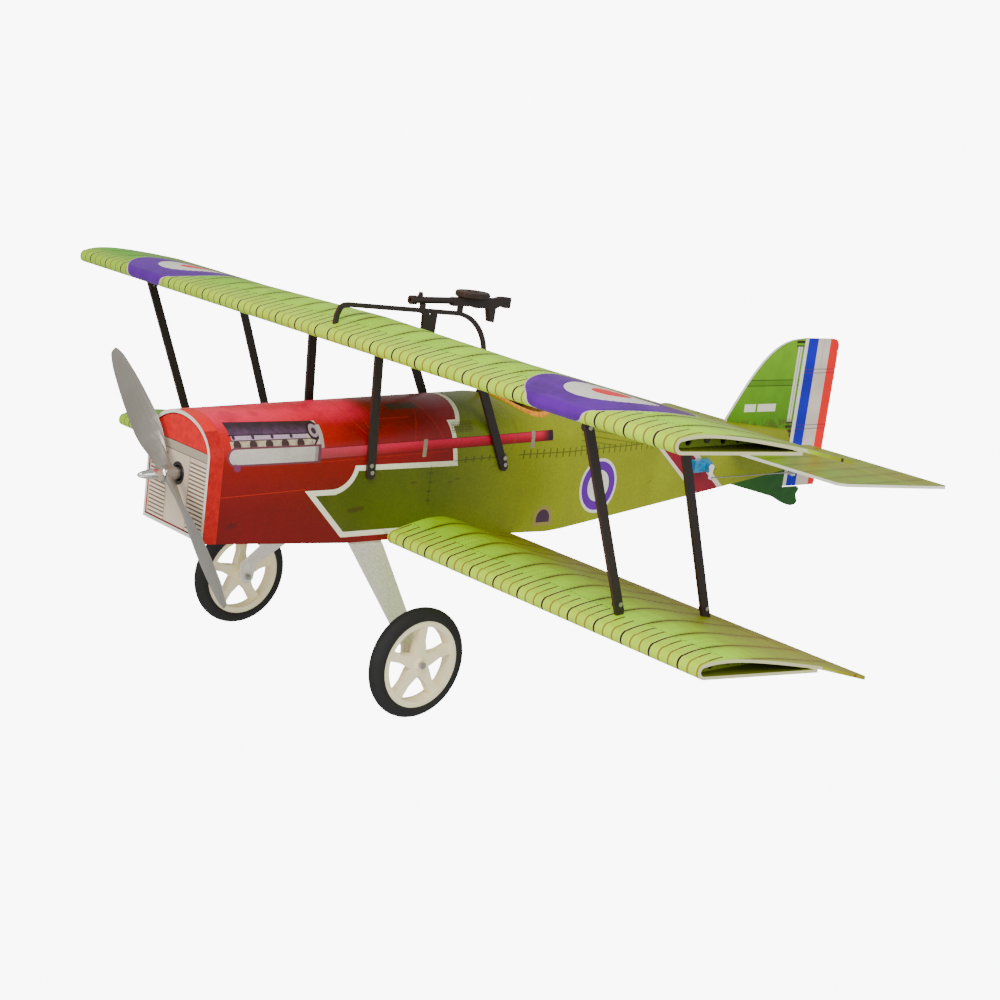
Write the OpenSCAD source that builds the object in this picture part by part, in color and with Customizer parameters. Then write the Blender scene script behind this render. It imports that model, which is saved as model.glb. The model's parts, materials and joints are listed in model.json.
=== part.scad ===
// Foam-sheet biplane model with an electric motor, laser-cut wood struts, hinged
// tail and aileron surfaces, and spoked wheels on a bent aluminium strap.
//
// Every part is drawn in the aircraft's own datum frame, in millimetres: +X is the
// left (port) wing, +Y runs aft from the nose face, +Z is up. placed() then stands
// the aircraft on its two wheels and its tail skid.

/* [Body] */
// Half of the body's width, from the nose to the cockpit
body_half_w = 46; // [42:1:50]
// Half of the body's width at the stern
stern_half_w = 8; // [6:1:10]
// Height of the body's sides at the nose
nose_side_h = 67; // [62:1:70]
// Height of the arched deck above the sides
deck_rise = 30.6; // [26:0.2:34]
// Thickness of the body's foam sheet
sheet_t = 3; // [2.5:0.5:3.5]

/* [Wings] */
// Wing chord
chord = 142; // [138:1:146]
// Where the leading edge ends at the tip, from the centre line
tip_x = 413; // [405:1:425]
// How much further out the trailing edge's tip is
tip_rake = 42; // [30:1:50]
// Leading edge of the upper wing, aft of the nose
upper_le_y = 126; // [122:1:130]
// Height of the upper wing's leading edge
upper_le_z = 161; // [156:1:166]
// Leading edge of the lower wing, aft of the nose
lower_le_y = 184; // [180:1:188]
// Height of the lower wing's leading edge
lower_le_z = -5.8; // [-7:0.2:-5]
// Nose-up angle of both wings
incidence = 1.4; // [0.5:0.1:2]
// Thickness of the wing's foam skin
skin_t = 2.5; // [2:0.1:3]
// How much deeper the section is at the centre line than at the tip
root_swell = 8.5; // [0:0.5:10]

/* [Struts] */
// Width of every strut
strut_w = 8; // [7:0.5:9]
// Thickness of the wood plate
ply_t = 3; // [2.5:0.5:3.5]
// Distance of the outer struts from the centre line
outer_strut_x = 306; // [300:1:312]

/* [Landing gear] */
// Axle position aft of the nose
axle_y = 159.4; // [157:0.2:162]
// Axle height
axle_z = -87.1; // [-90:0.1:-85]
// Outer radius of the tyres
tyre_r = 47; // [44:0.5:49]
// Outer radius of the rims
rim_r = 37; // [35:0.5:38]
// Distance of the strap's leg from the centre line at the axle
leg_x = 121; // [118:1:124]
// Wheel width
wheel_w = 14; // [12:1:15]
// Axle bolt radius
axle_r = 1.5; // [1.2:0.1:2]

/* [Propeller] */
// Propeller radius
prop_r = 127.5; // [120:0.5:132]
// Turn of the parked blade from the horizontal, towards the upper right
prop_park = 141; // [130:1:150]
// Height of the motor's shaft
shaft_z = 46.7; // [44:0.1:49]
// Radius of the motor's shaft
shaft_r = 1.6; // [1.5:0.1:2.5]

/* [Tail] */
// Rudder hinge line aft of the nose
rudder_y = 745; // [743:1:747]
// Elevator hinge line aft of the nose
elevator_y = 713; // [710:1:715]
// Middle height of the tailplane's sheet
tail_z = 46.5; // [46:0.1:47]
// Leading edge of the tailplane aft of the nose
tail_le_y = 632; // [629:1:635]
// Length of the servo arms and of the control horns
horn_r = 10; // [9:0.5:11]

/* [Hidden] */
$fn = 48;
far = 1000;
gap = 0.4;
fit = 0.05;

// Body lines: the sides are parallel up to this station, then taper to the stern
taper_y = 385;
stern_y = 735;
cowl_end_y = 300;
cowl_slope = 0.0357;
aft_slope = -0.079;
taper_turn = atan((body_half_w - stern_half_w) / (stern_y - taper_y));
belly_line = [[0, 0], [140, -8.5], [190, -8.5], [367, -13], [567, 4.5], [stern_y, 20]];
rear_rise = 19;
cockpit_y = 349;
cockpit_r = [34, 32];
coaming_lip = 1.6;
firewall_y = 36;
fin_front = 638;
joiner_r = 1;

// Wing section: a round nose, a curved top and a straight bottom
nose_r = 6;
cell_end = 106;
cell_lift = 3.6;
tip_bend = [cell_end, 23];
curve_n = 26;
swell_end = 110;
rib_gap = 0.15;
spar_s = 38;
spar_h = 8.8;
spar_r = 2.5;

// Ailerons, in the lower wings
aileron_s = 125;
aileron_x0 = 150;
aileron_x1 = 402;
aileron_r = 1.15;
aileron_horn_x = 203;
aileron_servo_s = 74;
aileron_servo_h = 2.6;

// Struts: each is a line from the upper wing down, given as [y, z] ends
outer_struts = [[[145, 154], [206, 6]], [[243, 152], [304, -7]]];
cabane_struts = [[[152, 160], [157.3, 47]], [[249, 160], [304, 48]]];
screw_pitch = 6;
outer_bolt_k = [0.03, 0.962];

// Gun rail and gun, on the centre line
rail_w = 4;
rail_r = 39;
rail_back = [306, 140];
gun_z = 190;
gun_barrel_r = 3;

// Propeller hub, between its front and back faces
hub_y = [-12.6, -4.6];
blade_y = -8.6;

// Micro servo, as [length, width, height] with its flange and output
servo = [22.8, 12.2, 22.5];
flange_l = 32.5;
flange_t = 2.4;
shaft_off = 5.3;
tail_servo_y = 585;
tail_servo_z = 36;
rod_r = 0.6;
pin_r = 0.75;
arm_x0 = 13.7;
arm_t = 1.6;
horn_t = 1.4;

// Ground line: from the tail skid's low point to the underside of the tyres
skid = [763, -22];
wheel_to_skid = skid - [axle_y, axle_z];
tail_down = atan2(wheel_to_skid[1], wheel_to_skid[0]) + asin(tyre_r / norm(wheel_to_skid));
nut_tip_y = -36;
rudder_rear = [798.6, 138];
ground_h = tyre_r - (axle_z * cos(tail_down) - axle_y * sin(tail_down));
front_y = nut_tip_y * cos(tail_down) + shaft_z * sin(tail_down);
back_y = rudder_rear[0] * cos(tail_down) + rudder_rear[1] * sin(tail_down);

// ---------- frame and helpers ----------

// Stands the datum frame on the ground, centred on the origin
module placed() {
    translate([0, -(front_y + back_y) / 2, ground_h])
        rotate([-tail_down, 0, 0])
            children();
}

module both_sides() {
    children();
    mirror([1, 0, 0]) children();
}

// A plate drawn in the side view, as [y, z] points, between two X positions
module side_plate(points, x0, x1) {
    translate([x0, 0, 0])
        rotate([90, 0, 90])
            linear_extrude(x1 - x0)
                polygon(points);
}

// A plate drawn in the front view, as [x, z] points, between two Y positions
module front_plate(points, y0, y1) {
    translate([0, y1, 0])
        rotate([90, 0, 0])
            linear_extrude(y1 - y0)
                polygon(points);
}

module x_rod(r, x0, x1, y, z) {
    translate([x0, y, z])
        rotate([0, 90, 0])
            cylinder(h = x1 - x0, r = r);
}

module y_rod(r, y0, y1, x, z) {
    translate([x, y0, z])
        rotate([-90, 0, 0])
            cylinder(h = y1 - y0, r = r);
}

function mirrored(points) = [for (p = points) [-p[0], p[1]]];
function reversed(points) = [for (i = [len(points) - 1:-1:0]) points[i]];
function arc(centre, r, a0, a1, n) =
    [for (i = [0:n]) centre + r * [cos(a0 + (a1 - a0) * i / n), sin(a0 + (a1 - a0) * i / n)]];

// ---------- body ----------

function half_w(y) =
    y < taper_y ? body_half_w
    : body_half_w - (body_half_w - stern_half_w) * (y - taper_y) / (stern_y - taper_y);
function side_top(y) =
    nose_side_h + cowl_slope * min(y, cowl_end_y) + aft_slope * max(0, y - cowl_end_y);
function rise(y) =
    y < taper_y ? deck_rise
    : deck_rise + (rear_rise - deck_rise) * (y - taper_y) / (stern_y - taper_y);
function belly(y) = lookup(y, belly_line);

// Half arch from the right side over the top to the left side, as [x, z]
function arch(w, h, base, n = 36) =
    [for (i = [0:n]) [w * cos(180 * i / n), base + h * sin(180 * i / n)]];

// The deck's shell between two stations that share one slope
module deck_shell(y0, y1) {
    slope = (side_top(y1) - side_top(y0)) / (y1 - y0);
    intersection() {
        translate([0, y0, side_top(y0)])
            rotate([atan(slope), 0, 0])
                front_plate(concat(
                    arch(body_half_w, deck_rise, 0),
                    reversed(arch(body_half_w - sheet_t, deck_rise - sheet_t, 0))
                ), -20, y1 - y0 + 20);
        translate([-far / 2, y0, -far / 2])
            cube([far, y1 - y0, far]);
    }
}

// Strip of the side view from the belly line up to the deck line
module side_profile(x0, x1, inset) {
    stations = [inset, cowl_end_y, stern_y];
    top = [for (y = reversed(stations)) [y, side_top(y)]];
    low = concat([[inset, belly(inset)]], [for (p = belly_line) if (p[0] > inset) p]);
    side_plate(concat(low, top), x0, x1);
}

// Plan view of one side sheet, as [x, y]
module side_sheet_plan() {
    outer = [[body_half_w, 0], [body_half_w, taper_y], [stern_half_w, stern_y]];
    inner = [for (p = reversed(outer)) p - [sheet_t, 0]];
    translate([0, 0, -far / 2])
        linear_extrude(far)
            polygon(concat(outer, inner));
}

module side_panel() {
    color("olivedrab")
        difference() {
            intersection() {
                side_profile(0, body_half_w, 0);
                side_sheet_plan();
            }
            tail_slot();
            wing_place(lower_le_y, lower_le_z)
                x_rod(spar_r, 0, 60, spar_s, spar_h);
            servo_window();
        }
}

module belly_panel() {
    upper = [for (p = reversed(belly_line)) p + [0, sheet_t]];
    inner_w = body_half_w - sheet_t;
    color("darkred")
        intersection() {
            side_plate(concat(belly_line, upper), -body_half_w, body_half_w);
            translate([0, 0, -far / 2])
                linear_extrude(far)
                    polygon([
                        [-inner_w, 0], [inner_w, 0], [inner_w, taper_y],
                        [stern_half_w - sheet_t, stern_y], [sheet_t - stern_half_w, stern_y],
                        [-inner_w, taper_y]
                    ]);
        }
}

module cowl_deck() {
    color("crimson")
        deck_shell(0, cowl_end_y);
}

// Upright ring or disc with the cockpit's oval outline
module cockpit_prism(grow) {
    translate([0, cockpit_y, 60])
        linear_extrude(80)
            polygon([for (i = [0:47])
                [(cockpit_r[0] + grow) * cos(7.5 * i), (cockpit_r[1] + grow) * sin(7.5 * i)]]);
}

module cockpit_deck() {
    color("olivedrab")
        difference() {
            deck_shell(cowl_end_y, taper_y);
            cockpit_prism(0);
        }
}

module cockpit_coaming() {
    color("peru")
        intersection() {
            translate([0, cowl_end_y, side_top(cowl_end_y)])
                rotate([atan(aft_slope), 0, 0])
                    front_plate(concat(
                        arch(body_half_w + coaming_lip, deck_rise + coaming_lip, 0),
                        reversed(arch(body_half_w, deck_rise, 0))
                    ), -20, taper_y - cowl_end_y);
            difference() {
                cockpit_prism(3);
                cockpit_prism(0);
            }
        }
}

// Deck behind the cockpit, narrowing to the stern
module rear_deck() {
    n = 36;
    stations = [taper_y, 455, 525, 595, 665, stern_y];
    rings = [for (y = stations)
        [for (p = concat(
            arch(half_w(y), rise(y), side_top(y), n),
            reversed(arch(half_w(y) - sheet_t, rise(y) - sheet_t, side_top(y), n))
        )) [p[0], y, p[1]]]];
    m = 2 * (n + 1);
    last = len(stations) - 1;
    cap = [for (i = [0:n - 1]) [i, i + 1, m - 2 - i, m - 1 - i]];
    color("olivedrab")
        difference() {
            polyhedron(
                points = [for (r = rings) for (p = r) p],
                faces = concat(
                    cap,
                    [for (f = cap) [for (i = reversed(f)) i + last * m]],
                    [for (k = [0:last - 1]) for (i = [0:m - 1])
                        [k * m + i, (k + 1) * m + i, (k + 1) * m + (i + 1) % m]],
                    [for (k = [0:last - 1]) for (i = [0:m - 1])
                        [k * m + i, (k + 1) * m + (i + 1) % m, k * m + (i + 1) % m]]
                )
            );
            tail_slot();
            translate([-ply_t / 2, 640, 0])
                cube([ply_t, far, far]);
        }
}

// Cross-section inside the side sheets, from the belly sheet to the deck's inside
function former(y, w_gap = 0.2) =
    concat(
        [[half_w(y + sheet_t) - sheet_t - w_gap, belly(y) + sheet_t + 0.6]],
        arch(half_w(y + sheet_t) - sheet_t - w_gap, rise(y) - sheet_t - 0.4, side_top(y) - 0.5),
        [[-half_w(y + sheet_t) + sheet_t + w_gap, belly(y) + sheet_t + 0.6]]
    );

module radiator_plate() {
    color("beige")
        difference() {
            front_plate(former(0, 0), 1, 1 + sheet_t);
            y_rod(6.5, -5, 10, 0, shaft_z);
        }
}

// Firewall, instrument panel and seat back
module formers() {
    color("burlywood")
        difference() {
            for (y = [firewall_y, cowl_end_y - sheet_t, taper_y])
                front_plate(former(y), y, y + sheet_t);
            y_rod(shaft_r + 1, 0, 60, 0, shaft_z);
        }
}

// ---------- wings ----------

// Top line of the section as a curve from the nose to the trailing edge
function blend(a, b, c, d, u) =
    pow(1 - u, 3) * a + 3 * pow(1 - u, 2) * u * b + 3 * (1 - u) * u * u * c + pow(u, 3) * d;
top_knots = [[nose_r, 2 * nose_r], [26, 18.5], [70, 15], [chord, 3]];
function top_at(u) = blend(top_knots[0], top_knots[1], top_knots[2], top_knots[3], u);
function top_normal(u) =
    let (d = top_at(u + 0.001) - top_at(u - 0.001))
        [-d[1], d[0]] / norm(d);
function low_line(s) = cell_lift * (s - nose_r) / (cell_end - nose_r);

// How much a section of swell k stands above the tip's, at s along the chord
function swell(s) =
    s < nose_r || s > swell_end ? 0
    : root_swell * pow(sin(180 * (s - nose_r) / (swell_end - nose_r)), 2);
function swell_k(x) = 1 - x / tip_x;
function outer_at(u, k) = top_at(u) + [0, k * swell(top_at(u)[0])];
function inner_at(u, k, t = skin_t) = outer_at(u, k) - t * top_normal(u);

u_close = 0.82;
function top_line(k) = [for (i = [1:curve_n]) outer_at(i / curve_n, k)];
under_line = [for (i = [curve_n:-1:0]) inner_at(u_close + (1 - u_close) * i / curve_n, 0)];
// Outline of the whole section, and of the hollow inside it
function section(k) = concat(
    arc([nose_r, nose_r], nose_r, 270, 90, 16),
    top_line(k),
    under_line,
    [[inner_at(u_close, 0)[0], low_line(cell_end)]]
);
function hollow(k) = concat(
    arc([nose_r, nose_r], nose_r - skin_t, 270, 90, 12),
    [for (i = [1:curve_n - 1]) inner_at(0.8 * i / curve_n, k)],
    [[102, low_line(102) + skin_t]]
);

// Solid between an outline at x0 and one with as many points at x1, as [y, z] points
module loft(a, b, x0, x1) {
    n = len(a);
    polyhedron(
        points = concat([for (p = a) [x0, p[0], p[1]]], [for (p = b) [x1, p[0], p[1]]]),
        faces = concat(
            [[for (i = [n - 1:-1:0]) i], [for (i = [0:n - 1]) n + i]],
            [for (i = [0:n - 1]) [i, (i + 1) % n, n + i]],
            [for (i = [0:n - 1]) [n + i, (i + 1) % n, n + (i + 1) % n]]
        )
    );
}

// Puts the section's frame (y = distance along the chord) on an aircraft wing
module wing_place(y, z) {
    translate([0, y, z - nose_r])
        rotate([-incidence, 0, 0])
            children();
}

module wing_plan(x0) {
    translate([0, 0, -far / 2])
        linear_extrude(far)
            polygon([
                [x0, -1], [tip_x, -1], [tip_x + tip_bend[1], tip_bend[0]],
                [tip_x + tip_rake, chord - 4], [tip_x + tip_rake - 4, chord + 1], [x0, chord + 1]
            ]);
}

module wing_skin(x0) {
    end_x = tip_x + tip_rake;
    intersection() {
        difference() {
            loft(section(swell_k(x0)), section(swell_k(end_x)), x0, end_x);
            loft(hollow(swell_k(x0 - 1)), hollow(swell_k(end_x + 1)), x0 - 1, end_x + 1);
        }
        wing_plan(x0);
    }
}

module upper_wing() {
    color("yellowgreen")
        wing_place(upper_le_y, upper_le_z)
            wing_skin(0);
}

module aileron_zone(grow) {
    translate([aileron_x0 - grow, aileron_s - grow, -far / 2])
        cube([aileron_x1 - aileron_x0 + 2 * grow, 60, far]);
}

// Middle and underside of the rear sheet at s, as [distance along the chord, height]
function u_at(s) = lookup(s, [for (i = [0:40]) [top_at(i / 40)[0], i / 40]]);
function sheet_mid(s) = (top_at(u_at(s)) + inner_at(u_at(s), 0)) / 2;
function sheet_low(s) = lookup(s, [for (p = reversed(under_line)) p]);
hinge_st = sheet_mid(aileron_s);

module lower_wing() {
    color("yellowgreen")
        wing_place(lower_le_y, lower_le_z)
            difference() {
                wing_skin(body_half_w);
                translate([0, -aileron_r - gap, 0])
                    aileron_zone(gap);
                aileron_servo_block(0.3);
            }
}

module aileron() {
    color("yellowgreen")
        wing_place(lower_le_y, lower_le_z)
            union() {
                intersection() {
                    wing_skin(body_half_w);
                    aileron_zone(0);
                }
                x_rod(aileron_r, aileron_x0, aileron_x1, hinge_st[0], hinge_st[1]);
            }
}

rib_stations = concat([for (i = [0:6]) 65 + 50 * i], [405]);

module ribs() {
    hole_r = [3.2, 2.9, 2];
    hole_s = [20, 55, 70];
    for (x = rib_stations)
        difference() {
            side_plate(rib_outline(swell_k(x + 1)), x - 1, x + 1);
            x_rod(spar_r + rib_gap, x - 2, x + 2, spar_s, spar_h);
            for (i = [0:2])
                x_rod(hole_r[i], x - 2, x + 2, hole_s[i], (low_line(hole_s[i]) + top_height(hole_s[i])) / 2);
        }
}

function top_height(s) = lookup(s, top_line(0));
function rib_outline(k) = concat(
    arc([nose_r + rib_gap, nose_r], nose_r - skin_t - rib_gap, 270, 90, 12),
    [for (i = [1:20]) inner_at(0.72 * i / 20, k, skin_t + rib_gap)],
    [[top_at(0.72)[0], low_line(top_at(0.72)[0]) + skin_t + rib_gap]]
);

module wing_ribs() {
    color("burlywood")
        both_sides() {
            wing_place(upper_le_y, upper_le_z)
                ribs();
            wing_place(lower_le_y, lower_le_z)
                ribs();
        }
}

module wing_spars() {
    color("dimgray")
        for (p = [[upper_le_y, upper_le_z], [lower_le_y, lower_le_z]])
            wing_place(p[0], p[1])
                x_rod(spar_r, -tip_x + 6, tip_x - 6, spar_s, spar_h);
}

// ---------- struts and gun ----------

// Straight strip with round ends between two [y, z] points
function strip(a, b, w) =
    let (d = b - a, t = atan2(d[1], d[0]))
        concat(arc(b, w / 2, t - 90, t + 90, 12), arc(a, w / 2, t + 90, t + 270, 12));

// All that lies above the upper wing's underside, which ends the struts below it
module above_upper_underside() {
    wing_place(upper_le_y, upper_le_z)
        side_plate(concat(
            [[0, 90], [0, nose_r]], arc([nose_r, nose_r], nose_r, 180, 270, 8),
            [[cell_end, low_line(cell_end)], [inner_at(u_close, 0)[0], low_line(cell_end)]],
            reversed(under_line), [[chord + 20, inner_at(1, 0)[1]], [chord + 20, 90]]
        ), 0, tip_x + tip_rake);
}

// All that lies below a wing's top surface, where that wing has swell k
module below_top(y, z, k) {
    wing_place(y, z)
        side_plate(concat(
            [[-10, -60], [-10, nose_r]], arc([nose_r, nose_r], nose_r, 180, 90, 8),
            top_line(k), [[chord + 0.1, -60]]
        ), -2, tip_x + tip_rake);
}

// The bolt's place on an outer strut, one strut width in from each end
function on_line(ends, k) = ends[0] + (ends[1] - ends[0]) * k;

module outer_struts() {
    color([0.16, 0.1, 0.08])
        difference() {
            for (s = outer_struts)
                side_plate(strip(s[0] - [1.6, -4], s[1] - [0.5, 1], strut_w),
                    outer_strut_x, outer_strut_x + ply_t);
            above_upper_underside();
            below_top(lower_le_y, lower_le_z, swell_k(outer_strut_x - 2));
            for (s = outer_struts)
                for (k = outer_bolt_k)
                    x_rod(1, outer_strut_x - 5, outer_strut_x + 9, on_line(s, k)[0], on_line(s, k)[1]);
        }
}

// Height above the belly where the two screws of a cabane strut sit
function cabane_screws(s) = [for (i = [0, 1]) s[1] + [-1.4 * i, 5 + i * screw_pitch]];

module cabane_struts() {
    x0 = body_half_w;
    color([0.16, 0.1, 0.08])
        difference() {
            for (s = cabane_struts)
                side_plate(strip(s[0], s[1] + [0, 3], strut_w), x0, x0 + ply_t);
            above_upper_underside();
            for (s = cabane_struts)
                for (p = cabane_screws(s))
                    x_rod(1, x0 - 1, x0 + 9, p[0], p[1]);
        }
}

// Wood tabs glued to the wings, beside the ends of the outer struts
module strut_tabs() {
    x0 = outer_strut_x - 2;
    color([0.16, 0.1, 0.08])
        both_sides()
            difference() {
                for (s = outer_struts)
                    for (k = outer_bolt_k)
                        side_plate(arc(on_line(s, k), 4, 0, 345, 23), x0, outer_strut_x);
                above_upper_underside();
                below_top(lower_le_y, lower_le_z, swell_k(outer_strut_x - 2));
                for (s = outer_struts)
                    for (k = outer_bolt_k)
                        x_rod(1, x0 - 1, x0 + 5, on_line(s, k)[0], on_line(s, k)[1]);
            }
}

module screw(x0, x1, y, z) {
    x_rod(1, x0, x1, y, z);
    x_rod(1.9, x1, x1 + 1.2, y, z);
}

module strut_screws() {
    color("darkgray")
        both_sides() {
            for (s = outer_struts)
                for (k = outer_bolt_k)
                    screw(outer_strut_x - 2, outer_strut_x + ply_t, on_line(s, k)[0], on_line(s, k)[1]);
            for (s = cabane_struts)
                for (p = cabane_screws(s))
                    screw(body_half_w, body_half_w + ply_t, p[0], p[1]);
        }
}

// Curved rail that carries the gun from the wing's front back to the cockpit
// Closed outline of a strip along a path of [y, z] points
function path_normal(p, i) =
    let (a = p[max(i - 1, 0)], b = p[min(i + 1, len(p) - 1)])
        [-(b - a)[1], (b - a)[0]] / norm(b - a);
function path_strip(p, w) = concat(
    [for (i = [0:len(p) - 1]) p[i] + path_normal(p, i) * w / 2],
    [for (i = [len(p) - 1:-1:0]) p[i] - path_normal(p, i) * w / 2]
);

module gun_rail() {
    path = concat(
        [[139, 163], [140.5, 176], [143.5, 182.5], [147, 184.4], [152, 184.8]],
        arc(rail_back - [rail_r, 0], rail_r, 88, 0, 14),
        [[rail_back[0], 106.5]]
    );
    color([0.16, 0.1, 0.08])
        difference() {
            union() {
                side_plate(path_strip(path, rail_w), -ply_t / 2, ply_t / 2);
                side_plate([[232, 160], [246, 160], [247, 180], [240, 177.5], [231, 181]], -ply_t / 2, ply_t / 2);
                for (post = [[228, gun_z - 3], [270, 185.5]])
                    side_plate(
                        [[post[0], 178.5], [post[0] + 5, 178.5], [post[0] + 5, post[1]], post],
                        -ply_t / 2, ply_t / 2);
            }
            below_top(upper_le_y, upper_le_z, 1);
            translate([0, cowl_end_y, side_top(cowl_end_y)])
                rotate([atan(aft_slope), 0, 0])
                    front_plate(arch(body_half_w, deck_rise, 0), -20, 120);
            y_rod(gun_barrel_r, 200, 262, 0, gun_z);
        }
}

module gun_body() {
    receiver = [
        [262, 185.5], [285, 185.5], [288, 184], [303, 184], [306, 172], [311, 171.5],
        [311.5, 184], [318, 186.5], [322, 184.5], [328, 184.5], [328.5, 194], [318, 194.5],
        [312, 193], [262, 193]
    ];
    color([0.2, 0.13, 0.1]) {
        difference() {
            union() {
                y_rod(gun_barrel_r, 216, 262, 0, gun_z);
                y_rod(gun_barrel_r + 1, 216, 222, 0, gun_z);
                side_plate([[224, 192], [229, 192], [228, 197], [226, 197]], -ply_t / 2, ply_t / 2);
            }
            y_rod(1.6, 210, 232, 0, gun_z);
        }
        side_plate(receiver, -ply_t, ply_t);
    }
}

module gun_drum() {
    color([0.2, 0.13, 0.1])
        translate([0, 285, 193])
            difference() {
                rotate_extrude()
                    polygon([
                        [0, 0], [14, 0], [15.5, 1.2], [15.5, 4.4], [14.5, 5.4], [5, 5.4],
                        [4.4, 6.6], [0, 6.6]
                    ]);
                for (i = [0:11])
                    rotate([0, 0, 30 * i])
                        translate([15.8, 0, -1])
                            cylinder(h = 9, r = 0.7);
            }
}

// ---------- tail ----------

module tail_slot() {
    translate([-60, tail_le_y, tail_z - sheet_t / 2])
        cube([120, elevator_y - tail_le_y - 1, sheet_t]);
    x_rod(1.1, -60, 60, elevator_y, tail_z);
}

module tailplane() {
    half = [
        [0, tail_le_y], [158, tail_le_y + 2], [164, tail_le_y + 8],
        [184, elevator_y - 2.2], [0, elevator_y - 2.2]
    ];
    color("yellowgreen")
        translate([0, 0, tail_z - sheet_t / 2])
            linear_extrude(sheet_t)
                polygon(concat(half, reversed(mirrored(half))));
}

module elevator() {
    edge_r = 1.5;
    half = [
        [14, elevator_y], [184.6, elevator_y], [195, elevator_y + 42], [192, elevator_y + 46],
        [60, elevator_y + 47], [16, elevator_y + 46]
    ];
    color("yellowgreen")
        both_sides()
            difference() {
                union() {
                    translate([0, 0, tail_z - sheet_t / 2])
                        linear_extrude(sheet_t)
                            polygon(half);
                    x_rod(edge_r, 14, 184, elevator_y, tail_z);
                }
                x_rod(joiner_r, 13, 40, elevator_y, tail_z);
            }
    color("silver")
        x_rod(joiner_r, -40, 40, elevator_y, tail_z);
}

module fin() {
    outline = concat(
        [[640, tail_z + sheet_t / 2], [640, 74], [fin_front + 2, 76]],
        [for (i = [0:12]) blend([fin_front + 2, 76], [672, 124], [694, 156], [736, 158], i / 12)],
        [[rudder_y - 1.5 - gap, 158.5], [rudder_y - 1.5 - gap, 22]],
        [[stern_y + 0.1, 22], [stern_y + 0.1, 44]],
        [[elevator_y + 1.4, 44], [elevator_y + 1.4, tail_z + sheet_t / 2]]
    );
    color("forestgreen")
        side_plate(outline, -ply_t / 2, ply_t / 2);
}

module rudder() {
    outline = concat(
        [[rudder_y, 0], [793.5, 0], [798, 38]],
        [[rudder_rear[0], rudder_rear[1]]],
        arc([790, 149.5], 9, -30, 80, 6),
        [[rudder_y, 159]]
    );
    color("mediumblue")
        union() {
            side_plate(outline, -ply_t / 2, ply_t / 2);
            translate([0, rudder_y, 0])
                cylinder(h = 159, r = 1.5);
        }
}

module ventral_fin() {
    lip_z = -1.2;
    outline = concat(
        [[640, belly(640)], [731, -11]],
        [for (i = [0:6]) blend([731, -11], [748, -19], [756, -22], [763, -22], i / 6)],
        [[768, -21], [771, -18], [767, -10], [771, -4], [768, lip_z]],
        [[rudder_y - 1.5 - gap, lip_z], [rudder_y - 1.5 - gap, 21.9], [stern_y, 20]]
    );
    color("darkgreen")
        side_plate(outline, -ply_t / 2, ply_t / 2);
}

// ---------- landing gear ----------

module gear_strap() {
    t = 2;
    bend_z = -76;
    top_z = belly(160);
    half = [[0, top_z], [42, top_z], [leg_x + 1, bend_z + 1], [leg_x + 1, -100]];
    inner = [[leg_x - 1, -100], [leg_x - 1, bend_z], [42 - t * 0.6, top_z - t], [0, top_z - t]];
    color("silver")
        difference() {
            intersection() {
                front_plate(
                    concat(half, inner, reversed(mirrored(inner)), reversed(mirrored(half))),
                    100, 220);
                side_plate(concat(
                    [[147, top_z + 1], [147, top_z - 4]],
                    arc([axle_y, axle_z], 7, 180, 360, 16),
                    [[180, top_z - 4], [180, top_z + 1]]
                ), -far, far);
            }
            x_rod(axle_r, -far, far, axle_y, axle_z);
        }
}

wheel_in = leg_x + 5;
wheel_out = wheel_in + wheel_w;

// Bolt with a hex head outside the wheel and a lock nut on each side of the strap
module axle_bolt() {
    hex_r = 3.1;
    x_rod(axle_r, leg_x - 6, wheel_out + 0.3, axle_y, axle_z);
    for (span = [[leg_x - 3.6, leg_x - 1], [leg_x + 1, leg_x + 4.7], [wheel_out + 0.3, wheel_out + 2.8]])
        difference() {
            translate([span[0], axle_y, axle_z])
                rotate([0, 90, 0])
                    cylinder(h = span[1] - span[0], r = hex_r, $fn = 6);
            x_rod(axle_r - 0.5, span[0] - 1, span[0] + 0.1, axle_y, axle_z);
        }
}

module axle_bolts() {
    color("gray")
        both_sides()
            axle_bolt();
}

// Ring drawn as [radius, height across the wheel] points
module wheel_turned(points) {
    translate([wheel_in, axle_y, axle_z])
        rotate([0, 90, 0])
            rotate_extrude($fn = 96)
                polygon(points);
}

module rim() {
    w = wheel_w;
    color("ivory")
        difference() {
            union() {
                wheel_turned([[rim_r - 5, 1], [rim_r, 1], [rim_r, w - 1], [rim_r - 5, w - 1]]);
                wheel_turned([[0, 0], [5.5, 0], [5.5, w - 1], [4.5, w], [0, w]]);
                for (i = [0:4])
                    translate([wheel_in + 4, axle_y, axle_z])
                        rotate([72 * i + 18, 0, 0])
                            side_plate([[0, -6.5], [10, -5.5], [20, -3.4], [rim_r - 3, -4.4],
                                [rim_r - 3, 4.4], [20, 3.4], [10, 5.5], [0, 6.5]], 0, w - 6);
            }
            x_rod(axle_r + fit, 0, 200, axle_y, axle_z);
        }
}

module tyre() {
    w = wheel_w;
    bulge = [for (i = [0:14]) let (a = 180 * i / 14)
        [rim_r + 2 + (tyre_r - rim_r - 2) * sin(a), w / 2 - (w / 2) * cos(a)]];
    color([0.1, 0.1, 0.1])
        wheel_turned(concat([[rim_r, 0.4]], bulge, [[rim_r, w - 0.4]]));
}

// ---------- motor and propeller ----------

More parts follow.
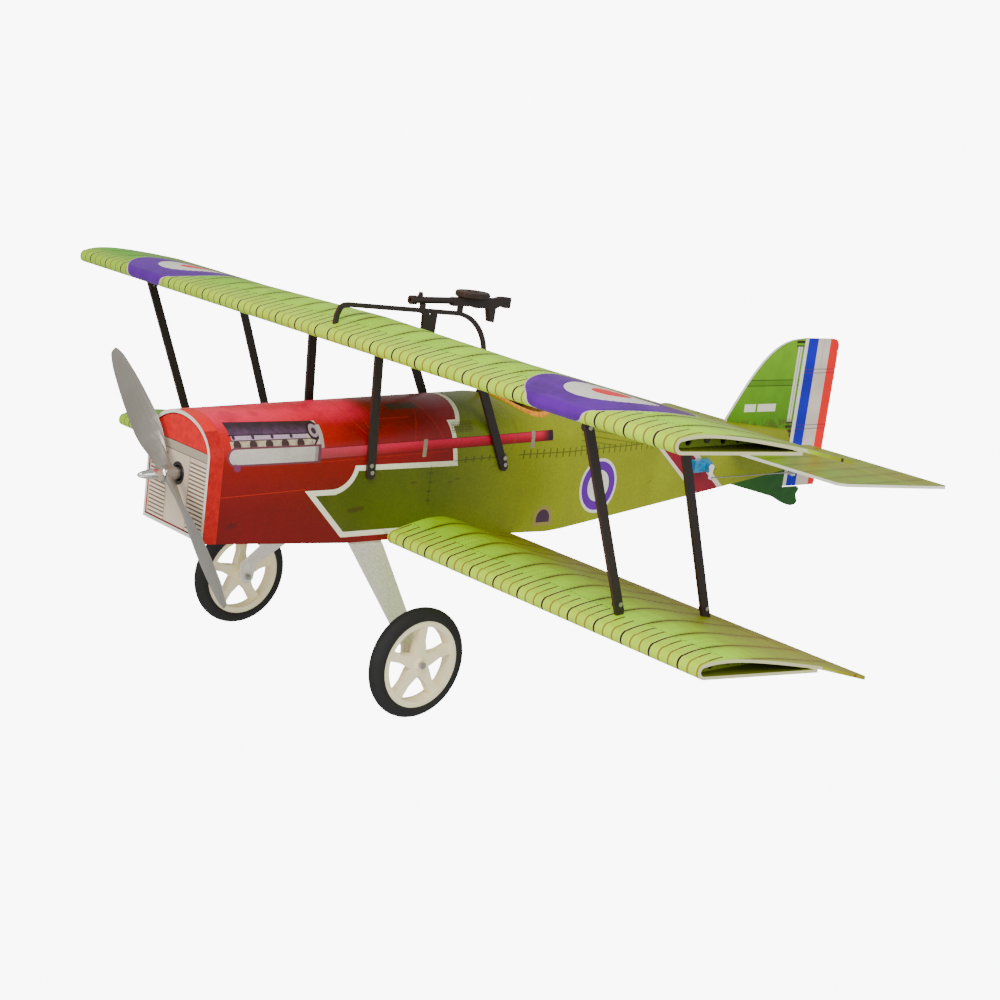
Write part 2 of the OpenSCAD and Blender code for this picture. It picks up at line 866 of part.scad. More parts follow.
// Blade section at radius r: an ellipse with the blade's chord, thickness and pitch
function blade_chord(r) = lookup(r, [
    [0, 11], [16, 13], [45, 27], [75, 27], [100, 23], [118, 17], [125, 11], [130, 4]
]);
function blade_ring(r, n) =
    let (c = blade_chord(r) / 2, h = 1.1 + 2.2 * max(0, 1 - r / 60),
        pitch = -atan(130 / (6.28 * max(r, 14))))
        [for (i = [0:n - 1]) let (a = 360 * i / n, p = c * cos(a), q = h * sin(a))
            [r, p * sin(pitch) + q * cos(pitch), p * cos(pitch) - q * sin(pitch)]];

module blade() {
    n = 16;
    stations = [2, 10, 18, 28, 38, 50, 65, 80, 95, 108, 116, 122, 126, prop_r];
    last = len(stations) - 1;
    polyhedron(
        points = [for (r = stations) for (p = blade_ring(r, n)) p],
        faces = concat(
            [[for (i = [n - 1:-1:0]) i]],
            [[for (i = [0:n - 1]) last * n + i]],
            [for (k = [0:last - 1]) for (i = [0:n - 1])
                [k * n + i, (k + 1) * n + (i + 1) % n, (k + 1) * n + i]],
            [for (k = [0:last - 1]) for (i = [0:n - 1])
                [k * n + i, k * n + (i + 1) % n, (k + 1) * n + (i + 1) % n]]
        )
    );
}

module propeller() {
    color("silver")
        difference() {
            union() {
                for (turn = [0, 180])
                    translate([0, blade_y, shaft_z])
                        rotate([0, -prop_park + turn, 0])
                            blade();
                y_rod(7, hub_y[0], hub_y[1], 0, shaft_z);
            }
            y_rod(2.5, -30, 10, 0, shaft_z);
            y_rod(6.4, hub_y[1], 10, 0, shaft_z);
            y_rod(6.4, -30, hub_y[0], 0, shaft_z);
        }
}

module prop_adapter() {
    color("gray")
        union() {
            y_rod(2.5, -22, hub_y[1], 0, shaft_z);
            y_rod(5.2, hub_y[1], 8, 0, shaft_z);
            y_rod(shaft_r, 8, 42, 0, shaft_z);
        }
}

module prop_nut() {
    color("gainsboro")
        difference() {
            union() {
                y_rod(5.6, hub_y[0] - 1.2, hub_y[0], 0, shaft_z);
                translate([0, hub_y[0] - 1.2, shaft_z])
                    rotate([90, 0, 0])
                        cylinder(h = 5, r = 5, $fn = 6);
                translate([0, hub_y[0] - 6.2, shaft_z])
                    rotate([90, 0, 0])
                        rotate_extrude()
                            polygon(concat([[0, 0]], [for (i = [0:8])
                                [4.3 * cos(11.25 * i), (hub_y[0] - 6.2 - nut_tip_y) * sin(11.25 * i)]
                            ]));
            }
            y_rod(2.5, -22, 0, 0, shaft_z);
        }
}

module motor_bell() {
    color("dimgray")
        difference() {
            y_rod(14, 8, 28, 0, shaft_z);
            y_rod(13, 10, 30, 0, shaft_z);
            y_rod(shaft_r, 5, 12, 0, shaft_z);
        }
}

module motor_stator() {
    color("goldenrod")
        difference() {
            union() {
                y_rod(11.6, 11, 30, 0, shaft_z);
                y_rod(14, 30, firewall_y, 0, shaft_z);
            }
            y_rod(shaft_r + fit, 5, 60, 0, shaft_z);
        }
}

module battery() {
    color("steelblue")
        translate([-17, 50, 0.4])
            cube([34, 72, 20]);
}

// ---------- servos and linkages ----------

// Servo with its output along +X: its flange lies on the plane x = 0, its arm
// pivots at y = 0, z = 0, and the case runs aft of the pivot.
module servo_body() {
    y0 = -(servo[0] - shaft_off);
    z0 = -servo[1] / 2;
    translate([-15.5, y0, z0])
        cube([servo[2], servo[0], servo[1]]);
    translate([0, y0 - (flange_l - servo[0]) / 2, z0])
        cube([flange_t, flange_l, servo[1]]);
    x_rod(servo[1] / 2, servo[2] - 15.5, servo[2] - 11.5, 0, 0);
    x_rod(2.3, servo[2] - 11.5, servo[2] - 9, 0, 0);
}

// Side of the body at the tail servos
module on_left_side() {
    translate([half_w(tail_servo_y), tail_servo_y, tail_servo_z])
        rotate([0, 0, taper_turn])
            children();
}

module servo_window() {
    on_left_side()
        translate([-10, -(servo[0] - shaft_off) - 0.1, -servo[1] / 2 - 0.1])
            cube([15, servo[0] + 0.2, servo[1] + 0.2]);
}

module tail_servo() {
    color("deepskyblue")
        on_left_side()
            servo_body();
}

// Arm that hangs down from the servo's output, with its rod hole horn_r below
module servo_arm() {
    difference() {
        union() {
            x_rod(3.2, arm_x0 - 0.2, arm_x0 + arm_t, 0, 0);
            side_plate(strip([0, 0], [0, -horn_r], 4.4), arm_x0, arm_x0 + arm_t);
        }
        x_rod(pin_r + fit, 0, 30, 0, -horn_r);
    }
}

module tail_arm() {
    color("white")
        on_left_side()
            servo_arm();
}

// Wire between two points, with a pin at each end: pins gives their signed
// lengths, and turn swings the first pin away from the X direction
module rod_wire(a, b, pins, turn = 0) {
    d = b - a;
    translate(a)
        rotate([0, acos(d[2] / norm(d)), atan2(d[1], d[0])])
            cylinder(h = norm(d), r = rod_r);
    for (end = [[a, pins[0], turn], [b, pins[1], 0]])
        if (end[1] != 0)
            translate(end[0])
                rotate([0, 0, end[2]])
                    x_rod(pin_r, -max(end[1], 0.8), max(-end[1], 0.8), 0, 0);
}

arm_out = arm_x0 + arm_t + 0.9;
arm_hole = [
    half_w(tail_servo_y) + arm_out * cos(taper_turn),
    tail_servo_y + arm_out * sin(taper_turn),
    tail_servo_z - horn_r
];
rudder_hole = [horn_r, rudder_y + 1, 15];
elevator_hole = [18, elevator_y, tail_z - horn_r];

module rudder_rod() {
    color("silver") {
        rod_wire(arm_hole, rudder_hole + [0, 0, 2.2], [2.6, 0], taper_turn);
        translate(rudder_hole - [0, 0, 2])
            cylinder(h = 5, r = pin_r);
    }
}

module rudder_horn() {
    slack = 1.4;
    color("white")
        difference() {
            translate([ply_t / 2, rudder_y, 14.3])
                linear_extrude(horn_t)
                    polygon(concat(
                        [[0, -1], [0, 12], [3, 12]],
                        arc([horn_r - ply_t / 2, 1], 3, 45, -135, 10),
                        [[2, -1]]
                    ));
            translate([rudder_hole[0], rudder_hole[1], 0])
                cylinder(h = 40, r = pin_r + slack);
        }
}

module elevator_rod() {
    color("silver")
        mirror([1, 0, 0])
            rod_wire(arm_hole, elevator_hole + [1.6, 0, 0], [2.6, 2.6], taper_turn);
}

module elevator_horn() {
    slack = 0.6;
    x = elevator_hole[0];
    z = tail_z - sheet_t / 2;
    color("white")
        mirror([1, 0, 0])
            difference() {
                side_plate(concat(
                    [[elevator_y + 14, z], [elevator_y, z]],
                    arc([elevator_y, z - horn_r + sheet_t / 2], 2.6, 180, 330, 10),
                    [[elevator_y + 14, z - 2]]
                ), x - horn_t / 2, x + horn_t / 2);
                x_rod(pin_r + slack, 0, 40, elevator_hole[1], elevator_hole[2]);
            }
}

// Aileron servo lying in the lower wing's cell, in the section's frame
aileron_servo_x = aileron_horn_x - arm_out - 0.9;

module on_wing_servo() {
    wing_place(lower_le_y, lower_le_z)
        translate([aileron_servo_x, aileron_servo_s, aileron_servo_h])
            children();
}

// Space that the servo and its swinging arm take out of the wing, in the section's frame
module aileron_servo_block(grow) {
    translate([aileron_servo_x - 15.5 - grow, aileron_servo_s - 24 - grow, aileron_servo_h - 30])
        cube([servo[2] + 13 + 2 * grow, flange_l + 1 + 2 * grow, 30 + servo[1] / 2 + grow]);
}

module aileron_servo() {
    color("deepskyblue")
        on_wing_servo()
            servo_body();
}

module aileron_arm() {
    color("white")
        on_wing_servo()
            servo_arm();
}

wing_arm_hole = [aileron_servo_x + arm_out, aileron_servo_s, aileron_servo_h - horn_r];
wing_horn_hole = [wing_arm_hole[0], hinge_st[0], hinge_st[1] - horn_r];

module aileron_rod() {
    color("silver")
        wing_place(lower_le_y, lower_le_z)
            rod_wire(wing_arm_hole, wing_horn_hole, [2.6, -2.6]);
}

module aileron_horn() {
    x = wing_horn_hole[0] + 0.9;
    s0 = aileron_s + 1.6;
    color("white")
        wing_place(lower_le_y, lower_le_z)
            difference() {
                side_plate(concat(
                    [for (s = [s0 + 9, s0 + 4.5, s0]) [s, sheet_low(s) - 0.05]],
                    arc(hinge_st - [0, horn_r], 2.4, 150, 330, 10)
                ), x, x + horn_t);
                x_rod(pin_r + fit, x - 9, x + 9, wing_horn_hole[1], wing_horn_hole[2]);
            }
}

// ---------- nodes ----------

placed() radiator_plate();
placed() cowl_deck();
placed() cockpit_deck();
placed() rear_deck();
placed() cockpit_coaming();
placed() side_panel();  // side_panel_left
placed() mirror([1, 0, 0]) side_panel();  // side_panel_right
placed() belly_panel();
placed() formers();
placed() upper_wing();  // upper_wing_left
placed() mirror([1, 0, 0]) upper_wing();  // upper_wing_right
placed() lower_wing();  // lower_wing_left
placed() mirror([1, 0, 0]) lower_wing();  // lower_wing_right
placed() wing_ribs();
placed() wing_spars();
placed() outer_struts();  // outer_struts_left
placed() mirror([1, 0, 0]) outer_struts();  // outer_struts_right
placed() cabane_struts();  // cabane_struts_left
placed() mirror([1, 0, 0]) cabane_struts();  // cabane_struts_right
placed() strut_tabs();
placed() strut_screws();
placed() gun_rail();
placed() gun_body();
placed() gun_drum();
placed() fin();
placed() ventral_fin();
placed() tailplane();
placed() gear_strap();
placed() axle_bolts();
placed() motor_stator();
placed() battery();
placed() tail_servo();  // rudder_servo
placed() mirror([1, 0, 0]) tail_servo();  // elevator_servo
placed() aileron_servo();  // aileron_servo_left
placed() mirror([1, 0, 0]) aileron_servo();  // aileron_servo_right
placed() propeller();
placed() prop_nut();
placed() prop_adapter();
placed() motor_bell();
placed() rim();  // rim_left
placed() tyre();  // tyre_left
placed() mirror([1, 0, 0]) rim();  // rim_right
placed() mirror([1, 0, 0]) tyre();  // tyre_right
placed() rudder();
placed() rudder_horn();
placed() elevator();
placed() elevator_horn();
placed() aileron();  // aileron_left
placed() aileron_horn();  // aileron_horn_left
placed() mirror([1, 0, 0]) aileron();  // aileron_right
placed() mirror([1, 0, 0]) aileron_horn();  // aileron_horn_right
placed() tail_arm();  // rudder_arm
placed() rudder_rod();
placed() mirror([1, 0, 0]) tail_arm();  // elevator_arm
placed() elevator_rod();
placed() aileron_arm();  // aileron_arm_left
placed() aileron_rod();  // aileron_rod_left
placed() mirror([1, 0, 0]) aileron_arm();  // aileron_arm_right
placed() mirror([1, 0, 0]) aileron_rod();  // aileron_rod_right
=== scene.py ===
"""Looks of the foam-sheet model biplane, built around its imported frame.

Everything printed on the foam is drawn by shader nodes in the aircraft's own
datum axes, in millimetres: x to the left wing, y aft from the nose face, z up.
"""

import json
import math

import bmesh
import bpy
from mathutils import Matrix, Vector


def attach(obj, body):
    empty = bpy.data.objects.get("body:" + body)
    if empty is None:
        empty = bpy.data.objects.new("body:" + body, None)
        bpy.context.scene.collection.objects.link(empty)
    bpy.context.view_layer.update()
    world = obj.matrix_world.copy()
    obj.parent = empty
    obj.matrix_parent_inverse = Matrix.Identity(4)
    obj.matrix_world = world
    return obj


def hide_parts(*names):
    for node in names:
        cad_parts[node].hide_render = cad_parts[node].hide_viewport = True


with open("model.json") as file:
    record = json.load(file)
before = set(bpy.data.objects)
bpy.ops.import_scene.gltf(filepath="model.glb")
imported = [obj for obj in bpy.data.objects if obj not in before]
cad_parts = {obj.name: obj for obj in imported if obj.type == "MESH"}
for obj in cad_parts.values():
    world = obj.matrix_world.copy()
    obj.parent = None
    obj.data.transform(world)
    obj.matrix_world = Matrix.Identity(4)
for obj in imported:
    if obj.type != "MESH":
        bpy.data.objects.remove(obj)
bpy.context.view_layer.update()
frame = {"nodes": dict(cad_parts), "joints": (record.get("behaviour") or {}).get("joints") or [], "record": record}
NODES = frame["nodes"]
MM = 0.001


# ---------- datum axes, from the propeller's joint ----------

PROP_JOINT = next(j for j in frame["joints"] if j["name"] == "prop_spin")
SHAFT_Z = 46.7
# Where the propeller's joint lies in the datum
HUB = Vector((0, -8.6, SHAFT_Z))
AXIS_Y = -Vector(PROP_JOINT["axis"]).normalized()
AXIS_X = Vector((1, 0, 0))
AXIS_Z = AXIS_X.cross(AXIS_Y)
TAIL_DOWN = math.atan2(-AXIS_Y.z, AXIS_Y.y)
TURN = Matrix((AXIS_X, AXIS_Y, AXIS_Z)).transposed()
ORIGIN = Vector(PROP_JOINT["pos_m"]) - TURN @ (HUB * MM)


# ---------- camera and lights ----------

CAMERA_AT = Vector((1.2644, -1.0978, 0.6923))
CAMERA_AZIMUTH = math.radians(50.316)
CAMERA_ELEVATION = math.radians(19.713)
CAMERA_ROLL = math.radians(-1.003)
LENS_MM = 68.107
SENSOR_MM = 36

SKY_STRENGTH = 0.6
# Camera rays see this brighter card, so that the background comes out near white
CARD_STRENGTH = 9.0
# Name, place, target, size and watts of each lamp
LAMPS = [
    ("key", (1.3, -1.2, 2.2), (0, 0, 0.2), 1.1, 44),
    ("front", (0.2, -2.4, 0.9), (0, 0, 0.2), 1.5, 20),
    ("left", (2.2, 0.4, 0.8), (0, 0, 0.2), 1.5, 14),
    ("low", (1.3, -1.0, -0.7), (0, -0.1, 0.1), 1.4, 9),
]


def add_camera():
    back = Vector((
        math.cos(CAMERA_ELEVATION) * math.sin(CAMERA_AZIMUTH),
        -math.cos(CAMERA_ELEVATION) * math.cos(CAMERA_AZIMUTH),
        math.sin(CAMERA_ELEVATION),
    ))
    level = Vector((math.cos(CAMERA_AZIMUTH), math.sin(CAMERA_AZIMUTH), 0))
    upright = back.cross(level)
    right = level * math.cos(CAMERA_ROLL) + upright * math.sin(CAMERA_ROLL)
    data = bpy.data.cameras.new("camera")
    data.lens = LENS_MM
    data.sensor_width = SENSOR_MM
    data.clip_end = 50
    camera = bpy.data.objects.new("camera", data)
    camera.matrix_world = Matrix.Translation(CAMERA_AT) @ Matrix(
        (right, back.cross(right), back)
    ).transposed().to_4x4()
    bpy.context.scene.collection.objects.link(camera)
    bpy.context.scene.camera = camera


def add_area(name, at, target, size, watts):
    data = bpy.data.lights.new(name, "AREA")
    data.size = size
    data.energy = watts
    lamp = bpy.data.objects.new(name, data)
    lamp.location = at
    lamp.rotation_euler = (Vector(at) - Vector(target)).to_track_quat("Z", "Y").to_euler()
    bpy.context.scene.collection.objects.link(lamp)


def add_lights():
    world = bpy.data.worlds.new("studio")
    world.use_nodes = True
    tree = world.node_tree
    path = tree.nodes.new("ShaderNodeLightPath")
    sky = tree.nodes["Background"]
    card = tree.nodes.new("ShaderNodeBackground")
    for node, strength in ((sky, SKY_STRENGTH), (card, CARD_STRENGTH)):
        node.inputs["Color"].default_value = (1, 1, 1, 1)
        node.inputs["Strength"].default_value = strength
    mix = tree.nodes.new("ShaderNodeMixShader")
    tree.links.new(path.outputs["Is Camera Ray"], mix.inputs[0])
    tree.links.new(sky.outputs[0], mix.inputs[1])
    tree.links.new(card.outputs[0], mix.inputs[2])
    tree.links.new(mix.outputs[0], tree.nodes["World Output"].inputs[0])
    bpy.context.scene.world = world
    for lamp in LAMPS:
        add_area(*lamp)


# ---------- shader graphs written as arithmetic ----------

# The view transform greys strong colours, so they are stated stronger
RICHER = 1.5
# The colour sockets of a Mix node, whose other types have sockets of the same names
MIX_FIRST, MIX_SECOND, MIX_RESULT = 6, 7, 2


def srgb(red, green, blue):
    """An 8-bit screen colour as the linear colour that shaders use."""
    parts = [c / 255 for c in (red, green, blue)]
    line = [c / 12.92 if c <= 0.04045 else ((c + 0.055) / 1.055) ** 2.4 for c in parts]
    grey = sum(line) / 3
    return (*[max(0.002, grey + (c - grey) * RICHER) for c in line], 1.0)


class Value:
    """A number that a shader works out, with the usual operators."""

    def __init__(self, graph, socket):
        self.graph = graph
        self.socket = socket

    def __add__(self, other):
        return self.graph.math("ADD", self, other)

    def __radd__(self, other):
        return self.graph.math("ADD", other, self)

    def __sub__(self, other):
        return self.graph.math("SUBTRACT", self, other)

    def __rsub__(self, other):
        return self.graph.math("SUBTRACT", other, self)

    def __mul__(self, other):
        return self.graph.math("MULTIPLY", self, other)

    def __gt__(self, other):
        return self.graph.math("GREATER_THAN", self, other)

    def __lt__(self, other):
        return self.graph.math("LESS_THAN", self, other)

    def __abs__(self):
        return self.graph.math("ABSOLUTE", self)


class Graph:
    """One material, with its colour, roughness and relief built from Values."""

    def __init__(self, name, rough=0.5, metallic=0.0, coat=0.0, gloss=0.5):
        self.material = bpy.data.materials.new(name)
        self.material.use_nodes = True
        self.tree = self.material.node_tree
        self.shader = self.tree.nodes["Principled BSDF"]
        self.shader.inputs["Roughness"].default_value = rough
        self.shader.inputs["Metallic"].default_value = metallic
        self.shader.inputs["Specular IOR Level"].default_value = gloss
        self.shader.inputs["Coat Weight"].default_value = coat
        self.shader.inputs["Coat Roughness"].default_value = 0.25
        coords = self.tree.nodes.new("ShaderNodeTexCoord")
        self.point = self.datum(coords.outputs["Object"], "POINT")
        self.x, self.y, self.z = self.split(self.point)
        self.nx, self.ny, self.nz = self.split(self.datum(coords.outputs["Normal"], "VECTOR"))

    def datum(self, socket, kind):
        """Turns a point or a normal of the row frame into the datum's axes."""
        node = self.tree.nodes.new("ShaderNodeMapping")
        node.vector_type = kind
        node.inputs["Rotation"].default_value = (TAIL_DOWN, 0, 0)
        if kind == "POINT":
            node.inputs["Scale"].default_value = (1 / MM, 1 / MM, 1 / MM)
            node.inputs["Location"].default_value = -(TURN.transposed() @ ORIGIN) / MM
        self.tree.links.new(socket, node.inputs["Vector"])
        return node.outputs[0]

    def split(self, socket):
        node = self.tree.nodes.new("ShaderNodeSeparateXYZ")
        self.tree.links.new(socket, node.inputs[0])
        return [Value(self, out) for out in node.outputs]

    def put(self, socket, value):
        """Links a Value or another node's socket, and sets anything else."""
        if isinstance(value, Value):
            self.tree.links.new(value.socket, socket)
        elif hasattr(value, "default_value"):
            self.tree.links.new(value, socket)
        else:
            socket.default_value = value

    def math(self, operation, a, b=0.0, c=0.0):
        node = self.tree.nodes.new("ShaderNodeMath")
        node.operation = operation
        for socket, value in zip(node.inputs, (a, b, c)):
            self.put(socket, value)
        return Value(self, node.outputs[0])

    def fold(self, operation, values):
        """Combines values one after another by a two-number operation."""
        total = values[0]
        for value in values[1:]:
            total = self.math(operation, total, value)
        return total

    def most(self, *values):
        return self.fold("MAXIMUM", values)

    def least(self, *values):
        return self.fold("MINIMUM", values)

    def ramp(self, value, low, high):
        """0 at low, 1 at high, smooth between and level beyond; low may be the larger."""
        node = self.tree.nodes.new("ShaderNodeMapRange")
        node.interpolation_type = "SMOOTHSTEP"
        self.put(node.inputs["Value"], value)
        node.inputs["From Min"].default_value = low
        node.inputs["From Max"].default_value = high
        return Value(self, node.outputs[0])

    def between(self, value, low, high):
        return (value > low) * (value < high)

    def box(self, u, v, u0, u1, v0, v1):
        return self.between(u, u0, u1) * self.between(v, v0, v1)

    def line(self, value, at, width):
        return abs(value - at) < width / 2

    def comb(self, value, pitch, start=0.0):
        """Distance from the nearest multiple of pitch, counted from start."""
        always_positive = value - (start - 1000 * pitch)
        return self.math("PINGPONG", always_positive, pitch / 2)

    def far(self, u, v, u0, v0):
        """Distance of (u, v) from a point."""
        return self.math("SQRT", (u - u0) * (u - u0) + (v - v0) * (v - v0))

    def noise(self, scale, detail=3.0, stretch=(1, 1, 1)):
        """Cloudy value from 0 to 1; scale is the size of its spots in millimetres."""
        mapping = self.tree.nodes.new("ShaderNodeMapping")
        mapping.inputs["Scale"].default_value = [k / scale for k in stretch]
        self.tree.links.new(self.point, mapping.inputs["Vector"])
        node = self.tree.nodes.new("ShaderNodeTexNoise")
        node.inputs["Scale"].default_value = 1.0
        node.inputs["Detail"].default_value = detail
        self.tree.links.new(mapping.outputs[0], node.inputs["Vector"])
        return Value(self, node.outputs[0])

    def mix(self, amount, first, second):
        node = self.tree.nodes.new("ShaderNodeMix")
        node.data_type = "RGBA"
        self.put(node.inputs[0], amount)
        self.put(node.inputs[MIX_FIRST], first)
        self.put(node.inputs[MIX_SECOND], second)
        return node.outputs[MIX_RESULT]

    def paint(self, colour, layers):
        """Lays each (mask, colour) over the one before."""
        for mask, above in layers:
            colour = self.mix(mask, colour, above)
        return colour

    def mottle(self, colour, size, strength):
        """Lighter and darker patches, as on printed film."""
        dark = self.mix(strength, colour, srgb(20, 20, 15))
        return self.mix(self.ramp(self.noise(size), 0.35, 0.65), colour, dark)

    def relief(self, height, depth_mm):
        node = self.tree.nodes.new("ShaderNodeBump")
        node.inputs["Strength"].default_value = 1.0
        node.inputs["Distance"].default_value = depth_mm * MM
        self.put(node.inputs["Height"], height)
        self.tree.links.new(node.outputs[0], self.shader.inputs["Normal"])

    def finish(self, colour, rough=None):
        self.put(self.shader.inputs["Base Color"], colour)
        if rough is not None:
            self.put(self.shader.inputs["Roughness"], rough)
        return self.material


# ---------- printed foam ----------

FOAM = srgb(240, 240, 228)
WHITE = srgb(244, 240, 230)
INK = srgb(36, 34, 20)
PURPLE = srgb(104, 2, 150)
PURPLE_WORN = srgb(92, 34, 108)
RED_SPOT = srgb(226, 74, 50)


def foam_relief(g, extra=None):
    """Beads of the foam under the film, with printed grooves on top."""
    beads = g.noise(2.2, 2.0)
    height = beads * 0.12
    if extra is not None:
        height = height - extra * 0.5
    g.relief(height, 0.5)


# Printed ribs, counted out from the middle of the aircraft, with two riblets between
RIB_PITCH = 29.5
RIB_START = 9
# The hollow of a wing: its middle height at the front, which drops aft, and its end
HOLLOW_MID = 7.5
HOLLOW_DROP = 0.02
HOLLOW_END = 105
WING_NOSE_R = 6
# Tangent of the wings' angle to the datum
WING_TILT = 0.0244


def wing_base(g, s, rib):
    """Green that yellows from right to left, with olive and streaks towards the rear."""
    base = g.mix(g.ramp(g.x, -380, -60), srgb(118, 188, 62), srgb(186, 232, 76))
    base = g.mix(g.ramp(s, 34, 128) * 0.7, base, srgb(138, 144, 56))
    base = g.mix(g.ramp(s, 108, 140) * 0.6, base, srgb(116, 104, 52))
    near_rib = 1 - g.ramp(rib, 0, 9)
    base = g.mix(near_rib * 0.35 * g.ramp(s, 6, 40), base, srgb(104, 104, 36))
    streaks = g.ramp(g.noise(40, 4.0, (1, 6, 1)), 0.42, 0.7)
    base = g.mix(streaks * 0.3 * g.ramp(s, 10, 70), base, srgb(110, 112, 48))
    front_light = 1 - g.ramp(s, 2, 26)
    base = g.mix(front_light * 0.35, base, srgb(216, 222, 120))
    return g.mottle(base, 26, 0.1)


def wing_badge_layers(g, side, s):
    """Three rings, measured round the front edge, which the print wraps round."""
    radius = 64
    unrolled = s * ((g.nz > 0.0) * 2 - 1)
    spot = g.far(side, unrolled, 290, 57)
    ring = g.mix(g.ramp(s, 30, 110), PURPLE, PURPLE_WORN)
    return [
        (spot < radius + 0.9, srgb(214, 206, 190)),
        (spot < radius, g.mottle(ring, 20, 0.3)),
        (spot < radius * 0.56, g.mottle(WHITE, 14, 0.06)),
        (spot < radius * 0.24, RED_SPOT),
    ]


def in_hollow(g, s, le_z):
    """1 on faces inside a wing, which look towards the hollow's middle height; these faces get painted shade."""
    middle = HOLLOW_MID - s * HOLLOW_DROP
    above = g.z - (le_z - WING_NOSE_R) + s * WING_TILT - middle
    top = (above > 0) * (g.nz < -0.3)
    bottom = (above < 0) * (g.nz > 0.3)
    return g.most(top, bottom) * g.between(s, 2, HOLLOW_END)


def wing_material(name, le_y, le_z, upper):
    """A wing's print, from its front edge's place; s is the distance aft of it."""
    g = Graph(name, rough=0.45, coat=0.03, gloss=0.25)
    side = abs(g.x)
    s = g.y - le_y
    rib = g.comb(side, RIB_PITCH, RIB_START)
    riblet = g.comb(side, RIB_PITCH / 3, RIB_START)
    riblet_end = 15 + g.noise(30, 2.0) * 18
    rib_line = (rib < 1.0) * (s < 132)
    riblet_line = (riblet < 0.95) * (s < riblet_end)
    riblet_dark = (riblet < 0.75) * g.between(s, 11, riblet_end)
    riblet_edge = g.between(riblet, 0.95, 1.9) * (s < riblet_end)
    rib_front_edge = g.between(rib, 0.7, 1.7) * g.between(s, -1, 24)
    rib_rear_edge = g.between(rib, 0.8, 2.2) * (s > 30) * (s < 128)
    stitch_row = g.between(g.comb(side, RIB_PITCH * 3, 24), 4.0, 4.7) * g.between(s, 4, 100)
    stitch = (g.comb(g.y, 3.2) < 0.9) * stitch_row
    dash_row = g.line(s, 25, 0.8) * (g.comb(side, RIB_PITCH * 4, 20) < 36)
    dash = (g.comb(side, 5.0) < 1.6) * dash_row
    hinge_band = g.line(s, 106, 1.6)
    colour = g.paint(wing_base(g, s, rib), [
        (riblet_edge * 0.35, srgb(222, 224, 160)),
        (rib_front_edge * 0.5, srgb(226, 226, 150)),
        (riblet_line * 0.8, srgb(128, 104, 62)),
        (riblet_dark * 0.85, srgb(56, 54, 28)),
        (rib_rear_edge * 0.5, srgb(120, 110, 60)),
        (rib_line, INK),
        (stitch * 0.8, srgb(44, 50, 22)),
        (dash * 0.7, srgb(46, 48, 26)),
        (hinge_band * 0.5, srgb(150, 138, 84)),
    ])
    if upper:
        colour = g.paint(colour, wing_badge_layers(g, side, s))
    else:
        colour = g.mix(g.ramp(s, 8, 90) * 0.5, colour, srgb(140, 120, 48))
    cut = g.most(abs(g.nx) > 0.9, g.ny > 0.9)
    colour = g.paint(colour, [
        # Painted shade: the faces inside the hollow are darkened to olive
        (in_hollow(g, s, le_z), srgb(92, 98, 52)),
        (cut, srgb(196, 196, 164)),
    ])
    foam_relief(g, g.most(rib_line, riblet_line * 0.5))
    return g.finish(colour, 0.38 + g.noise(9) * 0.16)


# The side's printed lines climb aft by this slope, and h is the height above them
PRINT_SLOPE = 0.0357
NOSE_BAND_END = 12.5
NOSE_BAND_TOP = 88
BORDER_WIDTH = 4.6


def drab_green(g, y, z):
    """Dark olive at the front and paler green from the cockpit on."""
    dark = g.mix(g.ramp(y, 90, 300), srgb(66, 74, 20), srgb(98, 106, 30))
    green = g.mix(g.ramp(y, 215, 345), dark, srgb(146, 154, 76))
    green = g.mix(g.ramp(z, 70, 100) * g.ramp(y, 380, 300) * 0.5, green, srgb(90, 100, 40))
    worn = g.ramp(g.noise(60, 2.0, (1, 1, 0.2)), 0.4, 0.65)
    return g.mix(worn * 0.25, green, srgb(120, 120, 60))


def cowl_red(g, y, h):
    """Dark red low down, pink on top of the cowl as a painted highlight, and dark again behind it."""
    red = g.mix(g.ramp(h, 20, 60), srgb(104, 14, 20), srgb(124, 20, 34))
    red = g.mix(g.ramp(h, 56, 88) * g.ramp(y, 150, 90), red, srgb(188, 34, 56))
    # Painted highlight: pink on the top of the cowl, fading out between y 150 and 175
    red = g.mix(g.ramp(h, 84, 98) * g.ramp(y, 175, 150), red, srgb(238, 66, 116))
    red = g.mix(g.ramp(y, 140, 190) * 0.8, red, srgb(134, 22, 34))
    streak = g.ramp(g.noise(26, 3.0, (1, 1, 0.35)), 0.45, 0.62)
    red = g.mix(streak * 0.3, red, srgb(110, 18, 22))
    band_side = g.box(y, h, -9, NOSE_BAND_END, -20, NOSE_BAND_TOP)
    red = g.mix(band_side, red, g.mottle(srgb(180, 38, 38), 5, 0.25))
    return g.mix((y < NOSE_BAND_END) * (h > NOSE_BAND_TOP), red, srgb(226, 70, 84))


def red_depth(g, y, z, h):
    """Above 0 inside the red; each term is positive in one part of it."""
    upper = g.least(247 - (h - 50) * 0.2 - y, z - 58)
    arc = g.least(22.5 - g.far(y, z, 120, 61), y - 110)
    middle = g.least(121 - y, z - 38.5)
    slant = (y - 92.8) * -0.713 + (z - 39.2) * -0.701
    strip = g.least(191 - y, -3.2 - z)
    crest = g.least(h - 84, 250 + (h - 84) * 0.6 - y)
    return g.most(arc, middle, slant, strip, upper, crest)


